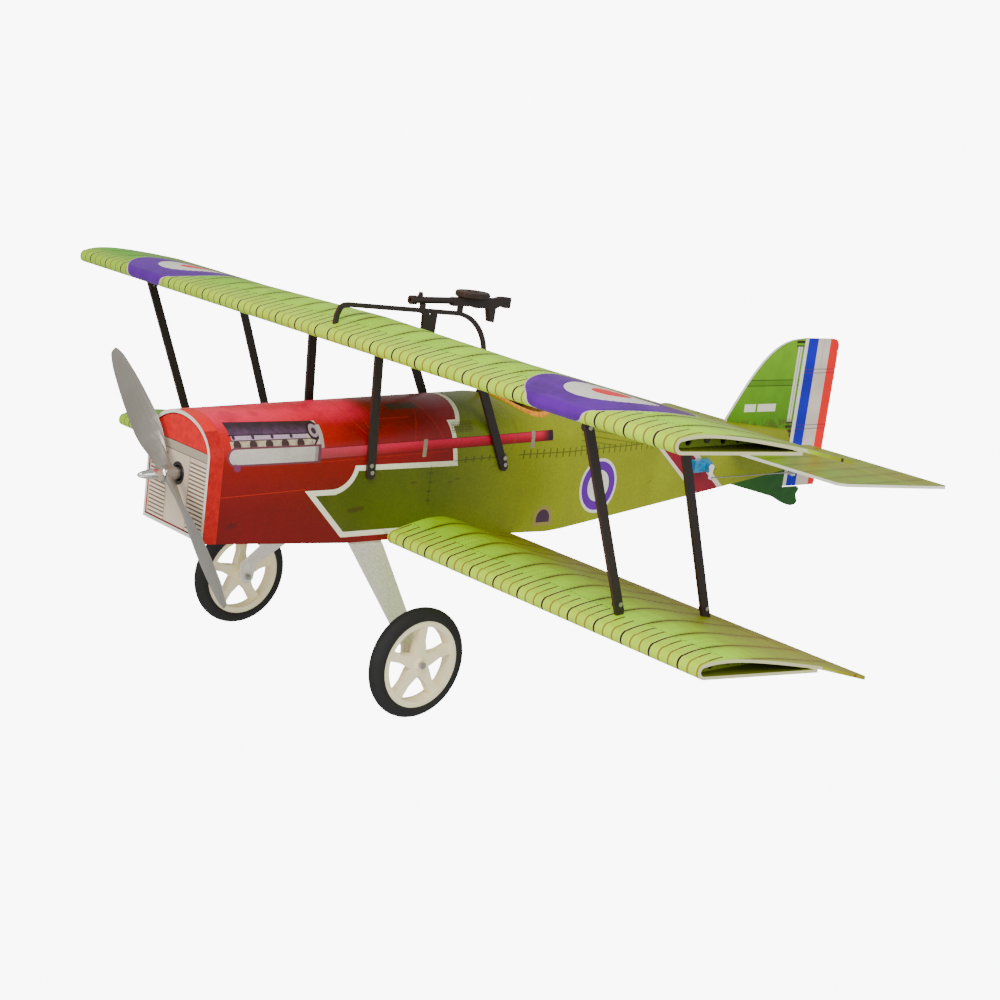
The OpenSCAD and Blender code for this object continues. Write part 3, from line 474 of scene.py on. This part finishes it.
def cowl_seams(g, y, h):
    """Lines between the cowl's printed panels."""
    bow = 98 - h
    return g.most(
        g.line(y, NOSE_BAND_END, 0.8) * (h > -30),
        g.line(h, NOSE_BAND_TOP, 0.7) * (y < NOSE_BAND_END),
        g.line(h, 36.5, 0.8) * g.between(y, NOSE_BAND_END, 94),
        g.line(h, 58.5, 0.6) * g.between(y, 106, 240),
        g.line(y, 203 + (h - 70) * (h - 70) * 0.02, 0.9) * g.between(h, 68, 92),
        g.line(y, 140 + bow * bow * 0.035, 1.2) * g.between(h, 73, 104),
        g.line(y, 152 + bow * 0.3, 0.8) * g.between(h, 73, 92),
        g.line(y, 226 - (h - 84) * 0.5, 0.8) * g.between(h, 68, 100),
        g.line(y, 166, 0.6) * g.between(h, 73, 88),
        g.line(h, 88, 0.6) * g.between(y, 166, 203),
    )


def engine_layers(g, y, tilt):
    """The painted engine in its opening: shaft, studs, cams and the link behind them."""
    cams_top, studs_top, opening_top = 81, 84.5, 92.5
    shaft = g.box(y, tilt, 21, 99, studs_top, opening_top)
    studs = g.box(y, tilt, 22, 93, cams_top, studs_top)
    cams = g.box(y, tilt, 20, 98, 74.5, cams_top)
    link = g.far(y, tilt, 101, 86)
    knobs = g.far(g.comb(y, 15, 26), tilt, 0, 77.5) < 3.6
    bolt_heads = g.far(g.comb(y, 18, 24), tilt, 0, 83) < 1.5
    rod = g.line(tilt - (y - 98) * 1.3, 74, 3.0) * g.between(tilt, 73, 84)
    metal = g.mix(g.ramp(tilt, studs_top, 92), srgb(96, 76, 96), srgb(54, 38, 46))
    length = g.between(y, 20, 99)
    return [
        (g.box(y, tilt, 23, 106, 74, opening_top), srgb(206, 184, 176)),
        (shaft, g.mottle(metal, 5, 0.4)),
        (studs, srgb(188, 168, 186)),
        (cams, g.mottle(srgb(196, 184, 166), 4, 0.35)),
        (cams * knobs, srgb(64, 50, 50)),
        (studs * bolt_heads, srgb(60, 46, 60)),
        (g.line(tilt, studs_top, 0.8) * length, srgb(44, 34, 42)),
        (g.line(tilt, 80.8, 0.8) * length, srgb(80, 66, 70)),
        (g.between(link, 4.6, 6.6), srgb(44, 34, 40)),
        (link < 4.6, srgb(168, 150, 158)),
        (link < 2.2, srgb(60, 46, 56)),
        (rod, srgb(52, 40, 44)),
        (g.box(y, tilt, 104.5, 108.5, 72, 90), srgb(176, 168, 164)),
    ]


def silencer_layers(g, y, tilt):
    """The pale box under the engine, round at its front end."""
    mid, half, rear = 68.5, 6.0, 106
    ahead = g.most(24 - y, 0.0)
    reach = g.math("SQRT", ahead * ahead + (tilt - mid) * (tilt - mid))
    return [
        ((reach < half + 1.6) * (y < rear), srgb(104, 70, 78)),
        ((reach < half) * (y < rear - 3), g.mottle(srgb(206, 200, 194), 30, 0.18)),
        (g.box(y, tilt, rear - 6, rear - 3, mid - half, mid + half), srgb(150, 138, 140)),
        (g.far(y, tilt, 26.5, 59.5) < 2.8, srgb(120, 70, 96)),
        (g.box(y, tilt, 23, 25.5, 58, 63), srgb(110, 70, 90)),
    ]


def pipe_layers(g, y, h):
    """The exhaust pipe along the side, its two clamps, and the louvres above it."""
    half = 4.5
    above = h - (65.6 - (y - 105) * 0.005)
    across = abs(above)
    along = g.between(y, 106, 361)
    tone = g.mix(g.ramp(above, -half, 3.0), srgb(140, 26, 52), srgb(208, 70, 100))
    tone = g.mix(g.ramp(y, 200, 110) * 0.6, tone, srgb(150, 90, 96))
    tone = g.mix(g.ramp(y, 344, 358), tone, srgb(40, 28, 34))
    clamps = g.most(g.line(y, 214, 4.2), g.line(y, 337, 4.2)) * g.between(above, -10, 5.4)
    louvres = g.mix(g.comb(y, 2.2) < 0.45, srgb(44, 34, 34), srgb(112, 78, 74))
    return [
        (along * (across < half), tone),
        (along * g.line(across, half, 0.5), srgb(96, 30, 44)),
        (clamps, srgb(156, 148, 134)),
        (g.box(y, h, 187, 219, 93.0, 96.0), louvres),
    ]


def stitch_layers(g, y, z, h):
    """Stitching, mesh, stringers and scratches on the green."""
    front, rear = g.between(y, 249, 308), g.between(y, 322, 512)
    seam = g.line(h, 49, 1.0) * front
    back = g.line(z, 60.5 + (y - 330) * 0.012, 1.0) * rear
    ticks = (g.comb(y, 8.0) < 0.8) * g.between(z, 56.5, 65) * rear
    front_ticks = (g.comb(y, 9.0) < 0.8) * g.line(h, 49, 5.5) * g.between(y, 252, 308)
    upright = g.line(y, 223.5, 0.8) * g.between(h, 12, 47)
    crosses = (g.comb(h, 8.0) < 0.7) * g.line(y, 223.5, 5) * g.between(h, 12, 47)
    mesh = g.most(g.comb(y, 2.0) < 0.4, g.comb(h, 2.0) < 0.4) * g.box(y, h, 243, 266, 74, 82)
    stringers = (g.comb(z + (y - 420) * 0.155, 5.2) < 0.6) * g.box(y, z, 398, 520, 63, 84)
    bulge = g.ramp(abs(g.far(y, h, 286, 70) - 30), 1.6, 0.0) * (y > 290)
    scratch = g.ramp(g.noise(14, 6.0, (1, 0.35, 1)), 0.68, 0.72) * (h < 34)
    return [
        (g.most(seam, back, ticks, front_ticks) * 0.75, srgb(72, 74, 40)),
        (g.most(upright, crosses) * 0.7, srgb(60, 64, 30)),
        (mesh * 0.7, srgb(78, 74, 40)),
        (stringers * 0.6, srgb(84, 92, 40)),
        (bulge * 0.35, srgb(96, 100, 44)),
        (scratch * 0.5, srgb(60, 30, 26)),
    ]


def mark_layers(g, y, z):
    """The step hole, the round badge and the slanting band ahead of the tail."""
    step = g.far(y, g.most(z, 0.0), 361, 0.0)
    step_area = g.box(y, z, 345, 378, -7, 12)
    badge = g.far(y, z, 431, 25.7)
    lean = y + (z - 57) * 1.32
    return [
        (step_area * (step < 11.5), srgb(150, 140, 96)),
        (step_area * (step < 8.0) * (z > -4), srgb(70, 52, 66)),
        (badge < 26.2, WHITE),
        (badge < 23.4, PURPLE),
        (badge < 15, WHITE),
        (badge < 7.4, RED_SPOT),
        (g.between(lean, 514, 566), srgb(240, 232, 214)),
        (g.between(lean, 520, 557), srgb(134, 44, 62)),
    ]


def body_material():
    """Red cowl with its painted engine, then green drab with a round badge."""
    g = Graph("printed_body", rough=0.4, coat=0.08, gloss=0.25)
    y, z = g.y, g.z
    h = z - y * PRINT_SLOPE
    tilt = h + (y - 20) * 0.03
    depth = red_depth(g, y, z, h)
    seams = cowl_seams(g, y, h)
    colour = g.paint(drab_green(g, y, z), [
        (depth > -BORDER_WIDTH, srgb(252, 250, 228)),
        (depth > 0, cowl_red(g, y, h)),
        (seams * 0.6, srgb(196, 84, 74)),
        *engine_layers(g, y, tilt),
        *silencer_layers(g, y, tilt),
        *pipe_layers(g, y, h),
        *stitch_layers(g, y, z, h),
        *mark_layers(g, y, z),
        (g.most(g.ny < -0.9, g.nz < -0.9), FOAM),
    ])
    colour = g.mottle(colour, 34, 0.07)
    colour = g.mottle(colour, 2.4, 0.12)
    foam_relief(g, seams)
    return g.finish(colour, 0.3 + g.noise(12) * 0.18)


def radiator_material():
    """Two banks of slats under a grey band and a red arch, with the shaft's dark hole."""
    g = Graph("printed_radiator", rough=0.45, coat=0.05, gloss=0.3)
    side = abs(g.x)
    z = g.z
    band_low, band_top = 64, 71.5
    slats = g.box(side, z, 17, 41, 4, 60)
    slat = g.comb(z, 3.3)
    base = g.mottle(srgb(214, 200, 184), 20, 0.08)
    brown = g.mix(g.ramp(slat, 0.4, 0.9), srgb(116, 92, 78), srgb(232, 222, 206))
    colour = g.paint(base, [
        (slats, brown),
        (g.line(side, 16.4, 0.8) * (z < band_low), srgb(150, 128, 112)),
        (g.between(z, 2.2, 4) * (side < 42), srgb(120, 90, 76)),
        (z > band_low, srgb(170, 160, 146)),
        (g.line(z, band_low, 0.7), srgb(110, 90, 80)),
        (z > band_top, g.mottle(srgb(204, 34, 28), 6, 0.2)),
        (g.line(z, band_top, 0.7), srgb(120, 40, 34)),
        (g.far(g.x, z, 0, SHAFT_Z) < 9.5, srgb(46, 42, 40)),
    ])
    foam_relief(g, slats * (slat < 0.7))
    return g.finish(colour, 0.36 + g.noise(10) * 0.2)


def sheet_cut(g, colour):
    """Cut edges of an upright sheet show white foam."""
    return g.mix(abs(g.nx) < 0.7, colour, FOAM)


def fin_material():
    """Green panels, two plain bars, and the hinge post with its lacing."""
    g = Graph("printed_fin", rough=0.42, coat=0.05, gloss=0.25)
    y, z = g.y, g.z
    base = g.mix(g.ramp(z, 60, 150), srgb(96, 140, 58), srgb(122, 166, 78))
    bar_height = g.between(z, 82, 90)
    post_height = g.between(z, 70, 150)
    lacing = g.comb(z, 5.0) < 1.4
    colour = g.paint(g.mottle(base, 16, 0.12), [
        (g.line(z, 112, 6) * 0.4, srgb(70, 96, 44)),
        (g.most(g.line(z, 115, 0.8), g.line(z, 109, 0.8)), srgb(54, 70, 36)),
        (bar_height * g.between(y, 664, 712), srgb(244, 242, 230)),
        (bar_height * g.between(y, 681, 684), srgb(104, 148, 64)),
        (lacing * g.between(y, 730, 743) * (z > 150), srgb(50, 44, 30)),
        (post_height * g.between(y, 733.5, 740), srgb(238, 236, 226)),
        (post_height * g.line(y, 737, 0.7), srgb(70, 66, 60)),
        (lacing * g.between(y, 732, 743) * (z < 70), srgb(50, 44, 30)),
        (g.ramp(z, 76, 70) * (g.noise(7) > 0.5) * 0.5, srgb(80, 60, 50)),
    ])
    foam_relief(g)
    return g.finish(sheet_cut(g, colour))


def rudder_material():
    """Upright stripes of blue, white and red behind a white edge, with two pairs of tape lines."""
    g = Graph("printed_rudder", rough=0.42, coat=0.05, gloss=0.25)
    y, z = g.y, g.z
    blue_from, white_from, red_from = 748.5, 764.0, 784.0
    shade = g.ramp(g.comb(z, 56, 60), 28, 6)
    pale = g.mix(shade * 0.4, srgb(240, 230, 222), srgb(196, 180, 168))
    tapes = g.most(*[g.line(z, at, 0.9) for at in (122, 126, 66, 62)])
    colour = g.paint(srgb(48, 44, 186), [
        (y < blue_from, srgb(240, 240, 234)),
        (y > white_from, pale),
        (y > red_from, srgb(236, 36, 66)),
        (g.between(y, blue_from, white_from) * shade * 0.35, srgb(30, 30, 110)),
        (tapes * (y > 749) * 0.7, srgb(90, 60, 80)),
        (g.line(y, 774, 0.6) * (z > 126) * 0.6, srgb(150, 130, 130)),
    ])
    foam_relief(g)
    return g.finish(sheet_cut(g, g.mottle(colour, 15, 0.05)))


def ventral_material():
    """Green print darkened by painted shade under the tailplane, darker still at the skid."""
    g = Graph("skid_print_in_shade", rough=0.45, coat=0.05, gloss=0.25)
    # Painted shade: the green is darkened, most towards the skid
    base = g.mix(g.ramp(g.y, 650, 760), srgb(54, 96, 46), srgb(44, 84, 44))
    foam_relief(g)
    return g.finish(sheet_cut(g, g.mottle(base, 12, 0.2)))


def tail_material():
    """Ribbed green with brown patches and a pale hinge line."""
    g = Graph("printed_tailplane", rough=0.42, coat=0.05, gloss=0.3)
    side = abs(g.x)
    front_edge = 632
    s = g.y - front_edge
    base = g.mix(g.ramp(s, 0, 120), srgb(140, 168, 74), srgb(150, 162, 76))
    glow = g.ramp(g.noise(38), 0.45, 0.7)
    base = g.mix(glow * 0.35, base, srgb(150, 120, 70))
    rib = g.comb(side, 27, 6)
    colour = g.paint(g.mottle(base, 22, 0.1), [
        ((rib < 0.5) * 0.7, srgb(66, 74, 36)),
        ((1 - g.ramp(rib, 0, 7)) * 0.25, srgb(90, 96, 46)),
        (g.line(s, 72, 1.0) * 0.7, srgb(90, 88, 50)),
        (g.line(s, 88, 1.4) * 0.5, srgb(206, 204, 150)),
    ])
    colour = g.mix(abs(g.nz) < 0.7, colour, FOAM)
    foam_relief(g, rib < 0.5)
    return g.finish(colour)


# ---------- plain materials ----------

def grain_material(name, dark, light, rough):
    """Laser-cut wood: long grain, with browner cut edges."""
    g = Graph(name, rough=rough)
    grain = g.noise(1.5, 5.0, (1, 1, 0.08))
    colour = g.mix(g.ramp(grain, 0.35, 0.7), dark, light)
    colour = g.mix((abs(g.nx) < 0.5) * 0.45, colour, srgb(70, 40, 30))
    g.relief(grain, 0.12)
    return g.finish(colour, rough + grain * 0.15)


def metal_material(name, colour, rough, streak=(1, 1, 1), depth=0.04, metallic=1.0):
    """Metal with a fine grain, which streak stretches into brush marks."""
    g = Graph(name, rough=rough, metallic=metallic)
    grain = g.noise(2.0, 5.0, streak)
    tone = g.mix(g.ramp(grain, 0.3, 0.75) * 0.25, colour, srgb(90, 88, 84))
    g.relief(grain, depth)
    return g.finish(tone, rough + grain * 0.2)


def plastic_material(name, colour, rough, coat, through=0.0):
    """Moulded plastic; through is how much light goes into it."""
    g = Graph(name, rough=rough, coat=coat)
    g.shader.inputs["Subsurface Weight"].default_value = through
    g.shader.inputs["Subsurface Scale"].default_value = 0.002
    grain = g.noise(0.8, 4.0)
    g.relief(grain, 0.03)
    return g.finish(g.mottle(colour, 9, 0.05), rough + grain * 0.1)


def propeller_material():
    g = Graph("propeller_plastic", rough=0.3, metallic=0.6, coat=0.35)
    flow = g.noise(30)
    colour = g.mix(g.ramp(flow, 0.35, 0.65) * 0.35, srgb(150, 147, 140), srgb(118, 114, 106))
    g.relief(g.noise(1.2), 0.02)
    return g.finish(colour, 0.28 + flow * 0.12)


def tyre_material():
    g = Graph("tyre_rubber", rough=0.78)
    grain = g.noise(0.9, 5.0)
    dust = g.ramp(g.noise(22, 4.0), 0.45, 0.75)
    g.relief(grain, 0.14)
    return g.finish(g.mix(dust * 0.25, srgb(13, 12, 12), srgb(44, 41, 38)), 0.66 + grain * 0.2)


def servo_material():
    g = Graph("servo_blue", rough=0.2, coat=0.5)
    g.shader.inputs["Transmission Weight"].default_value = 0.25
    seam = g.line(g.comb(g.x, 9.0), 0.0, 0.8)
    base = g.mix(g.ramp(g.noise(6), 0.4, 0.7) * 0.5, srgb(20, 150, 190), srgb(10, 90, 130))
    g.relief(g.noise(3), 0.05)
    return g.finish(g.mix(seam * 0.5, base, srgb(8, 60, 90)))


def trim_material():
    g = Graph("cockpit_trim", rough=0.5)
    wrinkle = g.noise(3.0, 4.0)
    g.relief(wrinkle, 0.3)
    colour = g.mix(g.ramp(wrinkle, 0.35, 0.7), srgb(226, 168, 104), srgb(196, 128, 66))
    return g.finish(colour, 0.42 + wrinkle * 0.2)


def carbon_material():
    g = Graph("carbon_tube", rough=0.3, coat=0.6)
    weave = g.math("PINGPONG", g.x + g.y, 1.0)
    return g.finish(g.mix(weave, srgb(14, 14, 16), srgb(48, 48, 52)))


def battery_material():
    g = Graph("battery_wrap", rough=0.25, coat=0.5)
    band = g.between(g.y, 78, 94)
    g.relief(g.noise(5, 3.0), 0.2)
    return g.finish(g.mix(band, g.mottle(srgb(28, 60, 120), 10, 0.2), srgb(230, 230, 225)))


def copper_material():
    g = Graph("motor_copper", rough=0.35, metallic=0.9)
    turns = g.comb(g.y, 1.1)
    g.relief(turns, 0.3)
    # Painted shade: each turn darkens towards the gaps between turns
    return g.finish(g.mix(g.ramp(turns, 0.0, 0.5), srgb(90, 48, 26), srgb(190, 110, 60)))


def build_materials():
    """Every look by its name; a wing is given its front edge's y and z."""
    return {
        "printed_body": body_material(),
        "upper_wing": wing_material("printed_upper_wing", 126, 161, upper=True),
        "lower_wing": wing_material("printed_lower_wing", 184, -5.8, upper=False),
        "radiator": radiator_material(),
        "fin": fin_material(),
        "rudder": rudder_material(),
        "ventral": ventral_material(),
        "tail": tail_material(),
        "rib_foam": plastic_material("rib_foam", srgb(120, 136, 56), 0.6, 0.0),
        "dark_wood": grain_material("dark_wood", srgb(18, 11, 9), srgb(34, 21, 17), 0.5),
        "plain_wood": grain_material("plain_wood", srgb(176, 134, 90), srgb(206, 170, 124), 0.6),
        "steel": metal_material("plated_steel", srgb(186, 184, 180), 0.28),
        "aluminium": metal_material(
            "strap_aluminium", srgb(248, 244, 236), 0.44, (1, 1, 0.12), 0.06, metallic=0.5
        ),
        "chrome": metal_material("polished_nut", srgb(226, 224, 220), 0.08, depth=0.005),
        "dark_metal": metal_material("motor_case", srgb(60, 60, 64), 0.35),
        "copper": copper_material(),
        "ivory": plastic_material("ivory_plastic", srgb(250, 240, 212), 0.42, 0.1, 0.15),
        "white_plastic": plastic_material("white_nylon", srgb(240, 238, 230), 0.4, 0.1, 0.2),
        "propeller": propeller_material(),
        "rubber": tyre_material(),
        "servo": servo_material(),
        "trim": trim_material(),
        "carbon": carbon_material(),
        "battery": battery_material(),
    }


# ---------- looks on the nodes ----------

def pair(stem):
    return [stem + "_left", stem + "_right"]


NODE_LOOKS = {
    "printed_body": ["cowl_deck", "cockpit_deck", "rear_deck", "belly_panel", *pair("side_panel")],
    "upper_wing": pair("upper_wing"),
    "lower_wing": [*pair("lower_wing"), *pair("aileron")],
    "radiator": ["radiator_plate"],
    "fin": ["fin"],
    "rudder": ["rudder"],
    "ventral": ["ventral_fin"],
    "tail": ["tailplane", "elevator"],
    "dark_wood": [
        *pair("outer_struts"), *pair("cabane_struts"),
        "strut_tabs", "gun_rail", "gun_body", "gun_drum",
    ],
    "plain_wood": ["formers"],
    "rib_foam": ["wing_ribs"],
    "steel": [
        "strut_screws", "axle_bolts", "prop_adapter",
        "rudder_rod", "elevator_rod", *pair("aileron_rod"),
    ],
    "aluminium": ["gear_strap"],
    "chrome": ["prop_nut"],
    "dark_metal": ["motor_bell"],
    "copper": ["motor_stator"],
    "ivory": pair("rim"),
    "white_plastic": [
        "rudder_horn", "elevator_horn", *pair("aileron_horn"),
        "rudder_arm", "elevator_arm", *pair("aileron_arm"),
    ],
    "propeller": ["propeller"],
    "rubber": pair("tyre"),
    "servo": ["rudder_servo", "elevator_servo", *pair("aileron_servo")],
    "trim": ["cockpit_coaming"],
    "carbon": ["wing_spars"],
    "battery": ["battery"],
}
# Nodes with curved faces, which are replaced by smooth-shaded copies
SMOOTHED = {
    *pair("upper_wing"), *pair("lower_wing"), *pair("aileron"), "cowl_deck", "cockpit_deck",
    "rear_deck", "cockpit_coaming", "fin", "rudder", "gun_rail", "ventral_fin",
}
WELD_DISTANCE = 0.00002
FLAT_ANGLE = math.radians(0.4)
SHARP_ANGLE = math.radians(32)
BODY_OF = {
    node: body
    for body, names in frame["record"]["behaviour"]["bodies"].items()
    for node in names
}


def clean_copy(node, material):
    """A piece with the CAD node's shape, welded and smooth-shaded."""
    mesh = NODES[node].data.copy()
    mesh.name = node + "_look"
    work = bmesh.new()
    work.from_mesh(mesh)
    bmesh.ops.remove_doubles(work, verts=work.verts, dist=WELD_DISTANCE)
    bmesh.ops.dissolve_limit(work, angle_limit=FLAT_ANGLE, verts=work.verts, edges=work.edges)
    work.to_mesh(mesh)
    work.free()
    piece = bpy.data.objects.new(node + "_look", mesh)
    bpy.context.scene.collection.objects.link(piece)
    mesh.materials.clear()
    mesh.materials.append(material)
    for face in mesh.polygons:
        face.use_smooth = True
    mesh.set_sharp_from_angle(angle=SHARP_ANGLE)
    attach(piece, BODY_OF[node])
    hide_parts(node)


def dress_nodes(materials):
    for look, names in NODE_LOOKS.items():
        for name in names:
            if name in SMOOTHED:
                clean_copy(name, materials[look])
            else:
                mesh = NODES[name].data
                mesh.materials.clear()
                mesh.materials.append(materials[look])


add_camera()
add_lights()
dress_nodes(build_materials())
